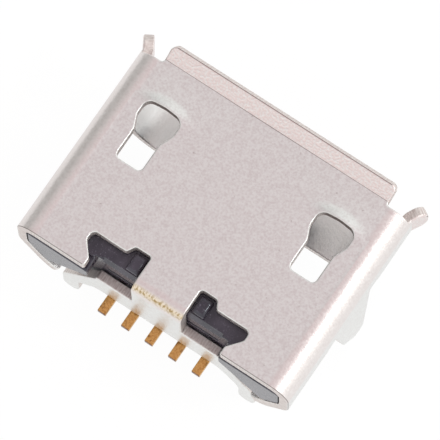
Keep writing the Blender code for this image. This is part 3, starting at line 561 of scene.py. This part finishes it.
def foldLines(s, plan, facet):
    lines = []
    _, corner, side, *_ = plan["path"]
    fade = s["strainFade"]
    for u in [*pathBends(plan["path"], facet), corner[0] - fade, side[0] + fade]:
        lines.append([(u, s["foldFromY"]), (u, s["length"] + s["foldPast"])])
    for first, last, _, angle in plan["lips"]:
        steps = max(2, math.ceil(angle / facet))
        for k in range(-1, steps + 1):
            v = -s["lipRoot"] - s["lipBend"] * angle * k / steps
            lines.append([(first - s["lipMargin"], v), (last + s["lipMargin"], v)])
    steps = math.ceil(math.pi / 2 / facet)
    bends = [plan["neckBendV"] + s["neckBend"] * math.pi / 2 * k / steps for k in range(steps + 1)]
    for v in [bends[0] - fade, *bends, bends[-1] + fade]:
        lines.append([(0.0, v), (s["neckWidth"] / 2 + s["neckOverrun"], v)])
    steps = math.ceil(math.pi / facet)
    depth = s["latchHeadY"] - s["latchFrontY"]
    for share in s["rimRings"]:
        growth = 1 + s["rimReach"] * share / depth
        angles = [math.pi + math.pi * k / steps for k in range(steps + 1)]
        lines.append([(s["latchSpacing"] / 2 + s["latchHeadWidth"] / 2 * growth * math.cos(a),
                       s["latchHeadY"] + depth * growth * math.sin(a)) for a in angles])
    return lines


def rimHeight(s, u, v):
    # the top plate rises in front of the latch hole's head
    depth = s["latchHeadY"] - s["latchFrontY"]
    dx = (abs(u) - s["latchSpacing"] / 2) / (s["latchHeadWidth"] / 2)
    dy = (v - s["latchHeadY"]) / depth
    distance = math.hypot(dx, dy)
    outside = max(0.0, distance - 1) * depth
    if dy > -tiny or outside > s["rimReach"]:
        return 0.0
    share = 1.0 - outside / s["rimReach"]
    facing = -dy / distance
    return s["rimRise"] * share * share * (3 - 2 * share) * facing * facing


def foldPoint(s, plan, u, v, w):
    # w is the height above the middle of the sheet
    side, u = (-1.0 if u < 0 else 1.0), abs(u)
    onNeck = u < s["neckWidth"] / 2 + s["neckMargin"]
    if v > plan["neckBendV"] and (onNeck or v > plan["flapStart"]):
        turned = min((v - plan["neckBendV"]) / s["neckBend"], math.pi / 2)
        below = max(0.0, v - plan["neckBendEnd"])
        y = plan["neckBendV"] + (s["neckBend"] + w) * math.sin(turned)
        z = plan["topMidZ"] - s["neckBend"] + (s["neckBend"] + w) * math.cos(turned) - below
        return side * u, y, z
    inLeg = s["legRootFrontY"] - s["legMargin"] < v < s["legRootRearY"] + s["legMargin"]
    if plan["kneeStart"] < u < plan["legEnd"] + s["windowTipGap"] / 2 and inLeg:
        return side * (plan["kneeX"] + w), v, plan["kneeZ"] - (u - plan["kneeStart"])
    middle, heading = pathAt(plan["path"], u)
    w += rimHeight(s, u, v)
    y = v
    beyond = -s["lipRoot"] - v
    if beyond > 0.0:
        angle = 0.0
        for first, last, _, lipAngle in plan["lips"]:
            if first - s["lipMargin"] <= u <= last + s["lipMargin"]:
                angle = lipAngle
        bend = s["lipBend"]
        turned = min(beyond / bend, angle)
        straight = max(0.0, beyond - bend * angle)
        rise = bend * (1 - math.cos(turned)) + straight * math.sin(turned)
        y = -s["lipRoot"] - bend * math.sin(turned) - straight * math.cos(turned) + w * math.sin(turned)
        w = rise + w * math.cos(turned)
    return side * (middle.x - w * math.sin(heading)), y, middle.y + w * math.cos(heading)


def subdivideLoop(points, spacing):
    fine = []
    for start, end in zip(points, points[1:] + points[:1]):
        steps = max(1, math.ceil(math.dist(start, end) / spacing))
        fine += [tuple(Vector(start).lerp(Vector(end), k / steps)) for k in range(steps)]
    return fine


def triangulateBlank(loops, lines):
    points, edges = [], []
    for loop in loops:
        first = len(points)
        points += loop
        edges += [(first + k, first + (k + 1) % len(loop)) for k in range(len(loop))]
    for line in lines:
        first = len(points)
        points += line
        edges += [(first + k, first + k + 1) for k in range(len(line) - 1)]
    flat, _, triangles, *_ = delaunay_2d_cdt([Vector(p) for p in points], edges, [], 0, weld, False)
    kept = []
    for face in triangles:
        a, b, c = (flat[k] for k in face)
        middle = (a + b + c) / 3
        if isInside(middle, loops[0]) and not any(isInside(middle, loop) for loop in loops[1:]):
            kept.append(tuple(face) if (b - a).cross(c - a) > 0 else tuple(reversed(face)))
    return [tuple(point) for point in flat], kept


def borderLoops(triangles):
    edges = [pair for a, b, c in triangles for pair in ((a, b), (b, c), (c, a))]
    known = set(edges)
    following = {a: b for a, b in edges if (b, a) not in known}
    loops = []
    while following:
        start = min(following)
        loop = [start]
        after = following.pop(start)
        while after != start:
            loop.append(after)
            after = following.pop(after)
        loops.append(loop)
    return loops


def edgeProfile(sheet, e):
    # (step outwards, height, share of the cut look) from the outer face round to the inner one
    half, roll, burr, hold = sheet / 2, e["dieRoll"], e["burr"], e["hold"]
    full = hold + roll
    profile = [(hold, half, 0.0)]
    for degrees, share in ((30, 0.0), (60, 0.1), (90, 0.8)):
        a = math.radians(degrees)
        profile.append((hold + roll * math.sin(a), half - roll * (1 - math.cos(a)), share))
    profile.append((full, half - roll - hold, 1.0))
    profile.append((full, -half + burr + hold, 1.0))
    for degrees, share in ((0, 1.0), (45, 0.5), (90, 0.0)):
        a = math.radians(degrees)
        profile.append((full - burr * (1 - math.cos(a)), -half + burr * (1 - math.sin(a)), share))
    return profile


def makeShell(s, e, material):
    facet = math.radians(e["facet"])
    plan = blankPlan(s)
    half = [coverCorners(s, plan) + notchCorners(s) + floorCorners(s, plan, tab) + mouthCorners(s, plan)
            for tab in (False, True)]
    loops = [roundedOutline(half[0] + mirrorCorners(half[1]), facet)]
    for hole in (latchHole(s, facet), legWindow(s, plan, facet)):
        loops += [hole, [(-u, v) for u, v in reversed(hole)]]
    inset = e["hold"] + e["dieRoll"]
    inner = []
    for index, loop in enumerate(loops):
        loop = subdivideLoop(loop, e["spacing"])
        outwards = (loopArea(loop) > 0) != (index > 0)      # the sheet lies left of a loop that turns so
        inner.append(moveLoop(loop, -inset if outwards else inset))
    lines = []
    for line in foldLines(s, plan, facet):
        lines += [line, [(-u, v) for u, v in line]]
    flat, triangles = triangulateBlank(inner, lines)

    used = sorted({k for face in triangles for k in face})
    order = {k: index for index, k in enumerate(used)}
    spots = [(*flat[k], s["sheet"] / 2) for k in used] + [(*flat[k], -s["sheet"] / 2) for k in used]
    count = len(used)
    cut = [0.0] * len(spots)
    along = [(0.0, 0.0, 0.0)] * len(spots)
    faces = []
    for face in triangles:
        a, b, c = (order[k] for k in face)
        faces += [(a, b, c), (count + c, count + b, count + a)]
    for loop in borderLoops(triangles):
        ring = [flat[k] for k in loop]
        normals = loopNormals(ring)
        lengths = [0.0]
        for start, end in zip(ring, ring[1:]):
            lengths.append(lengths[-1] + math.dist(start, end))
        above = [order[k] for k in loop]
        for out, height, share in edgeProfile(s["sheet"], e):
            first = len(spots)
            for point, normal, length in zip(ring, normals, lengths):
                spots.append((point[0] + normal.x * out, point[1] + normal.y * out, height))
                cut.append(share)
                along.append((length, height, 0.0))
            below = list(range(first, first + len(loop)))
            faces += ringFaces(above, below)
            above = below
        faces += ringFaces(above, [count + order[k] for k in loop])
    # painted light and crackling for each point
    lightAndStrain = [paintedLightAndStrain(s, plan, *spot) for spot in spots]
    points = [foldPoint(s, plan, *spot) for spot in spots]
    # marks the sheet's inner face, which is painted lighter as painted light for the interior
    paintedInsideLight = [float(height < 0) for _, _, height in spots]
    attributes = {"sheetPlace": spots, "edgePlace": along, "cutShare": cut, "paintedLightAndStrain": lightAndStrain,
                  "insideLightShare": paintedInsideLight}
    return finishMesh("shell_folded", points, faces, material, attributes)


def paintedLightAndStrain(s, plan, u, v, w):
    # painted gold reflection on the neck's bend, crackled plate under a painted pink sheen on bends and
    # lips,
    # and painted shade lines: the lips' fold, the latch holes' front cut faces, the rounding's start at
    # rear and lip
    u = abs(u)
    turned = (v - plan["neckBendV"]) / (s["neckBend"] * math.pi / 2)
    onNeck = u < s["neckWidth"] / 2 + s["bendMargin"] and -tiny < turned < 1 + tiny
    # painted gold reflection of the contacts on the outer face of the neck's bend
    gold = max(0.0, 1.0 - abs(turned - s["goldMiddle"]) / s["goldHalf"]) if onNeck and w > 0 else 0.0
    _, corner, side, *_ = plan["path"]
    onCorner = corner[0] - tiny < u < side[0] + tiny and v < s["length"] + s["cornerPast"]
    # bends and lips: crackled plate under a painted pink sheen, part on the bends and full on the lips
    strainAndSheen = s["bendStrainAndSheen"] if onCorner or onNeck else 0.0
    if v < -s["lipRoot"] - tiny:
        strainAndSheen = 1.0
    # painted shade: a dark line along the top lip's concave fold
    atCrease = abs(v + s["lipRoot"]) < s["creaseHalf"] and w > 0 and u < s["topLipWidth"] / 2
    shadeLines = 1.0 if atCrease else 0.0
    dx = (u - s["latchSpacing"] / 2) / (s["latchHeadWidth"] / 2)
    dy = (s["latchHeadY"] - v) / (s["latchHeadY"] - s["latchFrontY"])
    half = s["sheet"] / 2
    # painted shade on the latch holes' front cut faces, darkest in the middle of each front
    if abs(w) < half - s["frontShadeSkin"] and abs(dx) < s["frontShadeWide"] and 0.0 < dy < s["frontShadeDeep"]:
        shadeLines = min(1.0, max(0.0, s["frontShadeGain"] * dy / math.hypot(dx, dy) - s["frontShadeFrom"]))
    toEdge = min(abs(v - s["length"]), abs(v + s["topLipLength"]))
    # painted shade: a dark line where the edge starts to round off, at the rear edge and the top lip's tip
    if half - s["lineDeepest"] < w < half - s["lineHighest"] and toEdge < s["lineWide"]:
        shadeLines = s["edgeLine"]
    return gold, strainAndSheen, shadeLines


def ringFaces(above, below):
    faces = []
    for k in range(len(above)):
        after = (k + 1) % len(above)
        faces.append((above[after], above[k], below[k], below[after]))
    return faces


shell = makeShell(shellSizes, edgeSizes, nickel)
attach(shell, "root")
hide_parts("shell")
print("shell folded:", len(shell.data.polygons), "faces")


# The housing: the moulded block with rounded edges.
housingSizes = {
    "edgeRound": 0.045, "segments": 4, "room": 2.2, "leastShare": 0.25,
    "keyRound": 0.11, "keyTopZ": 2.32, "keyOuterX": 1.07, "keyWidth": 0.35, "keyChamfer": 0.05,
    "rearRound": 0.06, "rearY": 4.97, "rearTopZ": 2.00, "margin": 0.01,
    "flatWithin": 1.0, "sharpFrom": 30.0,      # degrees between two faces
}


def appliedMesh(item):
    bpy.context.view_layer.update()
    result = item.evaluated_get(bpy.context.evaluated_depsgraph_get())
    mesh = bpy.data.meshes.new_from_object(result)
    item.modifiers.clear()
    item.data = mesh


def nearestOther(edge):
    # distance from an edge to the other corners of its two faces
    start, end = (vertex.co for vertex in edge.verts)
    line = end - start
    gaps = []
    for face in edge.link_faces:
        for vertex in face.verts:
            if vertex not in edge.verts:
                share = min(1.0, max(0.0, (vertex.co - start).dot(line) / line.length_squared))
                gaps.append((vertex.co - start - line * share).length)
    return min(gaps)


def squareKeys(bm, s):
    # the keys' small chamfers close up, so that their top edges have room for a wider rounding
    near = (s["keyChamfer"] + s["margin"]) * metresPerMm
    for vertex in bm.verts:
        for side in (s["keyOuterX"], s["keyOuterX"] - s["keyWidth"]):
            x = math.copysign(side * metresPerMm, vertex.co.x)
            z = s["keyTopZ"] * metresPerMm
            if abs(vertex.co.x - x) < near and abs(vertex.co.z - z) < near:
                vertex.co.x, vertex.co.z = x, z


def makeHousing(sizes, material):
    bm = bmesh.new()
    bm.from_mesh(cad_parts["housing"].data)
    squareKeys(bm, sizes)
    bmesh.ops.remove_doubles(bm, verts=bm.verts, dist=weld * metresPerMm)
    flat = math.radians(sizes["flatWithin"])
    bmesh.ops.dissolve_limit(bm, angle_limit=flat, verts=bm.verts, edges=bm.edges)
    weights = bm.edges.layers.float.new("bevel_weight_edge")
    room = sizes["room"] * sizes["edgeRound"] * metresPerMm
    keyTop, rear, rearTop = (sizes[name] - sizes["margin"] for name in ("keyTopZ", "rearY", "rearTopZ"))
    for edge in bm.edges:
        # less rounding where there is little room beside the edge, as in the contacts' ways
        share = min(1.0, nearestOther(edge) / room)
        sharp = edge.is_convex and edge.calc_face_angle(0.0) > math.radians(sizes["sharpFrom"])
        if sharp and share > sizes["leastShare"]:
            lowZ = min(vertex.co.z for vertex in edge.verts) / metresPerMm
            lowY = min(vertex.co.y for vertex in edge.verts) / metresPerMm + seatY
            if lowZ > keyTop:
                edge[weights] = 1.0
            elif lowY > rear and lowZ > rearTop:
                edge[weights] = sizes["rearRound"] / sizes["keyRound"]
            elif lowY < rear:
                edge[weights] = share * sizes["edgeRound"] / sizes["keyRound"]
    mesh = bpy.data.meshes.new("housing_moulded")
    bm.to_mesh(mesh)
    bm.free()
    mesh.materials.clear()
    mesh.materials.append(material)
    mesh.materials.append(material)
    item = bpy.data.objects.new("housing_moulded", mesh)
    scene.collection.objects.link(item)
    bevel = item.modifiers.new("moulded edges", "BEVEL")
    bevel.width = sizes["keyRound"] * metresPerMm
    bevel.segments = sizes["segments"]
    bevel.limit_method = "WEIGHT"
    bevel.use_clamp_overlap = False
    bevel.material = 1
    appliedMesh(item)
    for face in item.data.polygons:
        face.use_smooth = face.material_index == 1       # the rounded edges; the flat faces stay flat
        face.material_index = 0
    item.data.materials.pop()
    return item


housing = makeHousing(housingSizes, polymer)
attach(housing, "root")
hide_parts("housing")
print("housing moulded:", len(housing.data.polygons), "faces")


# The contacts: one strip along a bent path, made five times.
contactSizes = {
    "Front Y": 0.84, "Drop Y": 4.35, "Tail End Y": 5.20, "Narrow From Y": 3.82, "Narrow To Y": 4.02,
    "Blade Z": 1.355, "Tail Z": 0.075, "Thickness": 0.15, "Blade Width": 0.28, "Tail Width": 0.22,
    "Upper Radius": 0.22, "Lower Radius": 0.16, "Edge Round": 0.018,
}
contactRow = {
    "count": 5, "pitch": 0.65, "setback": 0.22, "bendSteps": 10, "edgeSteps": 3,
    "endRound": 0.012, "endSegments": 2, "endAngle": 60.0, "cutMargin": 0.006, "sharpAngle": 50.0,
}


def contactTree(material):
    tree = bpy.data.node_groups.new("bent contact", "GeometryNodeTree")
    tree.interface.new_socket("Geometry", in_out="INPUT", socket_type="NodeSocketGeometry")
    for name, value in {"Centre X": 0.0, **contactSizes}.items():
        socket = tree.interface.new_socket(name, in_out="INPUT", socket_type="NodeSocketFloat")
        socket.default_value = value
    choice = tree.interface.new_socket("Finish", in_out="INPUT", socket_type="NodeSocketMaterial")
    choice.default_value = material
    tree.interface.new_socket("Geometry", in_out="OUTPUT", socket_type="NodeSocketGeometry")
    sizes = tree.nodes.new("NodeGroupInput").outputs
    output = tree.nodes.new("NodeGroupOutput")

    # six corners of the middle line, in y and z
    heights = ["Blade Z"] * 4 + ["Tail Z"] * 2
    reaches = ["Front Y", "Narrow From Y", "Narrow To Y", "Drop Y", "Drop Y", "Tail End Y"]
    index = tree.nodes.new("GeometryNodeInputIndex").outputs[0]
    spot = tree.nodes.new("GeometryNodeIndexSwitch")
    spot.data_type = "VECTOR"
    while len(spot.index_switch_items) < len(reaches):
        spot.index_switch_items.new()
    tree.links.new(index, spot.inputs[0])
    for k, (y, z) in enumerate(zip(reaches, heights)):
        corner = addNode(tree, "ShaderNodeCombineXYZ", Y=sizes[y], Z=sizes[z])
        tree.links.new(corner.outputs[0], spot.inputs[k + 1])
    line = addNode(tree, "GeometryNodeMeshLine", Count=len(reaches))
    bent = addNode(tree, "GeometryNodeSetPosition", Geometry=line.outputs[0], Position=spot.outputs[0])
    curve = addNode(tree, "GeometryNodeMeshToCurve", Mesh=bent.outputs[0])

    # the strip is narrower from the third corner on
    late = addNode(tree, "FunctionNodeCompare", {"data_type": "INT", "operation": "GREATER_EQUAL"},
                   i2=index, i3=2)
    share = addNode(tree, "GeometryNodeCaptureAttribute")
    share.domain = "POINT"
    share.capture_items.new("FLOAT", "Narrow")
    tree.links.new(curve.outputs[0], share.inputs[0])
    tree.links.new(late.outputs[0], share.inputs["Narrow"])

    # bends at the fourth and fifth corner
    radius = tree.nodes.new("GeometryNodeIndexSwitch")
    radius.data_type = "FLOAT"
    while len(radius.index_switch_items) < len(reaches):
        radius.index_switch_items.new()
    tree.links.new(index, radius.inputs[0])
    for k in range(len(reaches)):
        radius.inputs[k + 1].default_value = 0.0
    tree.links.new(sizes["Upper Radius"], radius.inputs[4])
    tree.links.new(sizes["Lower Radius"], radius.inputs[5])
    fillet = addNode(tree, "GeometryNodeFilletCurve", {"mode": "POLY"}, Curve=share.outputs[0],
                     Count=contactRow["bendSteps"], Radius=radius.outputs[0])

    section = addNode(tree, "GeometryNodeCurvePrimitiveQuadrilateral",
                      Width=sizes["Blade Width"], Height=sizes["Thickness"])
    rounded = addNode(tree, "GeometryNodeFilletCurve", {"mode": "POLY"}, Curve=section.outputs[0],
                      Count=contactRow["edgeSteps"], Radius=sizes["Edge Round"])
    swept = addNode(tree, "GeometryNodeCurveToMesh", Curve=fillet.outputs[0],
                    Profile_Curve=rounded.outputs[0], Fill_Caps=True)

    # widths: x is scaled by the captured share, then the strip is set at its place in the row
    ratio = addNode(tree, "ShaderNodeMath", {"operation": "DIVIDE"}, i0=sizes["Tail Width"],
                    i1=sizes["Blade Width"])
    factor = addNode(tree, "ShaderNodeMix", {"data_type": "FLOAT"}, i0=share.outputs["Narrow"], i2=1.0,
                     i3=ratio.outputs[0])
    position = addNode(tree, "GeometryNodeInputPosition").outputs[0]
    place = addNode(tree, "ShaderNodeSeparateXYZ", Vector=position)
    wide = addNode(tree, "ShaderNodeMath", {"operation": "MULTIPLY_ADD"}, i0=place.outputs[0],
                   i1=factor.outputs[0], i2=sizes["Centre X"])
    joined = addNode(tree, "ShaderNodeCombineXYZ", X=wide.outputs[0], Y=place.outputs[1],
                     Z=place.outputs[2])
    moved = addNode(tree, "GeometryNodeSetPosition", Geometry=swept.outputs[0],
                    Position=joined.outputs[0])
    real = addNode(tree, "GeometryNodeRealizeInstances", Geometry=moved.outputs[0])
    painted = addNode(tree, "GeometryNodeSetMaterial", Geometry=real.outputs[0],
                      Material=sizes["Finish"])
    tree.links.new(painted.outputs[0], output.inputs[0])
    return tree


def makeContact(tree, number, material):
    item = bpy.data.objects.new(f"contact_bent_{number + 1}", bpy.data.meshes.new("strip"))
    scene.collection.objects.link(item)
    sweep = item.modifiers.new("bent contact", "NODES")
    sweep.node_group = tree
    inputs = {socket.name: socket.identifier for socket in tree.interface.items_tree
              if socket.in_out == "INPUT"}
    outermost = number in (0, contactRow["count"] - 1)
    values = dict(contactSizes)
    values["Centre X"] = (number - (contactRow["count"] - 1) / 2) * contactRow["pitch"]
    values["Front Y"] += 0.0 if outermost else contactRow["setback"]
    for name, value in values.items():
        sweep[inputs[name]] = value
    sweep[inputs["Finish"]] = material
    ends = item.modifiers.new("cut ends", "BEVEL")
    ends.width = contactRow["endRound"]
    ends.segments = contactRow["endSegments"]
    ends.limit_method = "ANGLE"
    ends.angle_limit = math.radians(contactRow["endAngle"])
    appliedMesh(item)
    mesh = item.data
    mesh.transform(Matrix.Translation((0, -seatY, 0)))
    mesh.transform(Matrix.Scale(metresPerMm, 4))
    cut = mesh.attributes.new("cutShare", "FLOAT", "POINT")
    tailEnd = (contactSizes["Tail End Y"] - seatY - contactRow["cutMargin"]) * metresPerMm
    cut.data.foreach_set("value", [1.0 if v.co.y > tailEnd else 0.0 for v in mesh.vertices])
    mesh.shade_smooth()
    mesh.set_sharp_from_angle(angle=math.radians(contactRow["sharpAngle"]))
    mesh.update()
    return item


stripTree = contactTree(gold)
for number in range(contactRow["count"]):
    contact = makeContact(stripTree, number, gold)
    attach(contact, "root")
    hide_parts(f"contact_{number + 1}")
    print(contact.name, len(contact.data.polygons), "faces")


floorSizes = {
    "z": -1.05, "half": 400.0, "colour": "#F6F6F6", "roughness": 0.9, "glow": 0.93, "strength": 1.02,
}


def makeFloor(sizes):
    # white card that mostly glows for the eye and for mirrors, so only a faint shadow is left
    material, tree, shader = startMaterial("white_card", {
        "Base Color": linearColour(sizes["colour"]), "Roughness": sizes["roughness"]})
    glow = addNode(tree, "ShaderNodeEmission", Strength=sizes["strength"])
    rays = addNode(tree, "ShaderNodeLightPath").outputs
    seen = addNode(tree, "ShaderNodeMath", {"operation": "MAXIMUM"}, i0=rays["Is Camera Ray"],
                   i1=rays["Is Glossy Ray"])
    seen = addNode(tree, "ShaderNodeMath", {"operation": "MAXIMUM"}, i0=seen.outputs[0],
                   i1=rays["Is Transmission Ray"])
    share = addNode(tree, "ShaderNodeMath", {"operation": "MULTIPLY"}, i0=seen.outputs[0],
                    i1=sizes["glow"])
    mixed = addNode(tree, "ShaderNodeMixShader", i0=share.outputs[0], i1=shader.outputs[0],
                    i2=glow.outputs[0])
    tree.links.new(mixed.outputs[0], tree.nodes["Material Output"].inputs["Surface"])
    half = sizes["half"]
    corners = [(-half, -half), (half, -half), (half, half), (-half, half)]
    points = [(x, y + seatY, sizes["z"]) for x, y in corners]
    floor = finishMesh("white_floor", points, [(0, 1, 2, 3)], material)


def addSoftbox(name, direction, distance, size, radiance):
    # radiance of the panel's face; a lamp's power follows from its area
    lamp = bpy.data.lights.new(name, "AREA")
    lamp.shape = "RECTANGLE"
    lamp.size, lamp.size_y = size[0] * metresPerMm, size[1] * metresPerMm
    lamp.energy = radiance * math.pi * lamp.size * lamp.size_y
    item = bpy.data.objects.new(name, lamp)
    scene.collection.objects.link(item)
    aim = Vector(direction).normalized()
    item.location = aim * distance * metresPerMm
    item.rotation_mode = "QUATERNION"
    item.rotation_quaternion = aim.to_track_quat("Z", "Y")
    item.visible_camera = False


# White tent, dimmer towards +X, with a darker and warmer top where the camera looks in.
# The colours here are linear light already.
worldLook = {
    "side": (1.0, 1.0, 0.99, 1.0), "right": (0.50, 0.50, 0.49, 1.0), "rightFrom": 0.20, "rightTo": 0.80,
    "top": (0.77, 0.655, 0.675, 1.0), "topFrom": 0.70, "topTo": 0.97, "seen": (1.0, 1.0, 1.0, 1.0),
}


def makeWorld(look):
    world = bpy.data.worlds.new("studio tent")
    scene.world = world
    world.use_nodes = True
    tree = world.node_tree
    background = tree.nodes["Background"]
    towards = addNode(tree, "ShaderNodeTexCoord").outputs["Generated"]
    spots = addNode(tree, "ShaderNodeSeparateXYZ", Vector=towards).outputs
    tone = look["side"]
    for part, axis in (("right", "X"), ("top", "Z")):
        share = addNode(tree, "ShaderNodeMapRange", Value=spots[axis], From_Min=look[part + "From"],
                        From_Max=look[part + "To"])
        tone = addNode(tree, "ShaderNodeMix", {"data_type": "RGBA"}, i0=share.outputs[0], i6=tone,
                       i7=look[part]).outputs[2]
    rays = addNode(tree, "ShaderNodeLightPath").outputs
    seen = addNode(tree, "ShaderNodeMix", {"data_type": "RGBA"}, i0=rays["Is Camera Ray"],
                   i6=tone, i7=look["seen"])
    tree.links.new(seen.outputs[2], background.inputs["Color"])
    background.inputs["Strength"].default_value = 1.0


cameraFit = {
    "toCamera": (-0.1592, 0.2201, 0.9624), "roll": 32.81, "focal": 5182.0,
    "shift": (1.4156, -1.5319), "distance": 120.0, "frame": 440, "sensor": 36.0, "originY": -5.15,
    "clip": (0.01, 2.0),      # metres
}


def makeCamera(fit):
    away = Vector(fit["toCamera"]).normalized()
    across = Vector((-1, 0, 0))
    across = (across - away * across.dot(away)).normalized()
    rear = across.cross(away)
    rear = rear if rear.y > 0 else -rear
    roll = math.radians(fit["roll"])
    right = across * math.cos(roll) - rear * math.sin(roll)
    down = across * math.sin(roll) + rear * math.cos(roll)
    place = away * fit["distance"] - right * fit["shift"][0] - down * fit["shift"][1]
    place.y += fit["originY"]
    data = bpy.data.cameras.new("camera")
    data.sensor_width = fit["sensor"]
    data.lens = fit["focal"] / fit["frame"] * fit["sensor"]
    data.clip_start, data.clip_end = fit["clip"]
    camera = bpy.data.objects.new("camera", data)
    scene.collection.objects.link(camera)
    turn = Matrix((right, -down, away)).transposed().to_4x4()
    turn.translation = place * metresPerMm
    camera.matrix_world = turn
    scene.camera = camera


# direction, distance and size in millimetres, radiance
softboxes = {
    "key softbox": ((-0.95, -0.20, 0.50), 160, (120, 110), 0.25),
    "small softbox": ((-0.66, -0.22, 0.72), 160, (18, 30), 18.0),
    "rear softbox": ((0.2, 1.0, 0.6), 170, (130, 70), 0.25),
    "mouth softbox": ((-0.80, -0.85, 0.06), 150, (100, 60), 2.4),
}

makeFloor(floorSizes)
makeWorld(worldLook)
for name, softbox in softboxes.items():
    addSoftbox(name, *softbox)
makeCamera(cameraFit)
print("stage ready")
